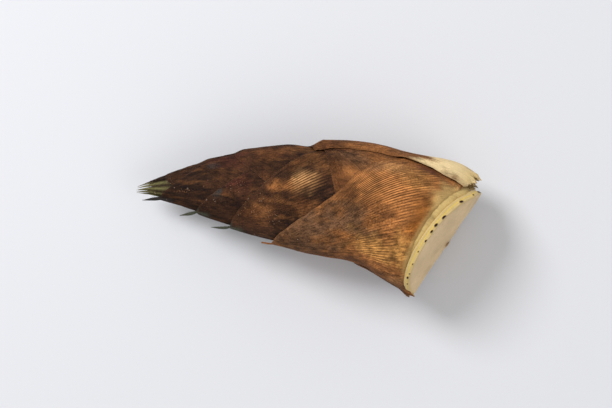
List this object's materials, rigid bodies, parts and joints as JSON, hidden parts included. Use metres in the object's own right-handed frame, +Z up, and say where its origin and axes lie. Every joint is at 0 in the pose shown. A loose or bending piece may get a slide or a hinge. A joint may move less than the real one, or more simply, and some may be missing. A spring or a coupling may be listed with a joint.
{
  "type": "bamboo shoot",
  "caption": "freshly dug bamboo shoot lying on its side: a bent, tapering horn of overlapping hairy brown sheaths with pointed blades, cut across at its pale root end",
  "frame": {"origin": "centre of the bounding box's bottom face, on the surface that the shoot lies on", "axes": "+X along the shoot towards its cut root end, +Z up, +Y to the left of +X seen from above"},
  "size_m": [0.2762, 0.1242, 0.0952],
  "materials": {
    "brown_husk": "dull, ribbed, with short golden-brown hairs",
    "dark_husk": "dull, velvety near-black brown hairs",
    "green_husk": "matt, fibrous, green to straw",
    "culm": "moist, matt, finely streaked cut flesh"
  },
  "bodies": {
    "root": {"sheath_1": "brown_husk", "sheath_2": "brown_husk", "sheath_3": "brown_husk", "sheath_4": "dark_husk", "sheath_5": "dark_husk", "sheath_6": "dark_husk", "sheath_7": "dark_husk", "sheath_8": "dark_husk", "sheath_9": "green_husk", "sheath_10": "green_husk", "sheath_11": "green_husk", "culm": "culm"}
  },
  "joints": []
}
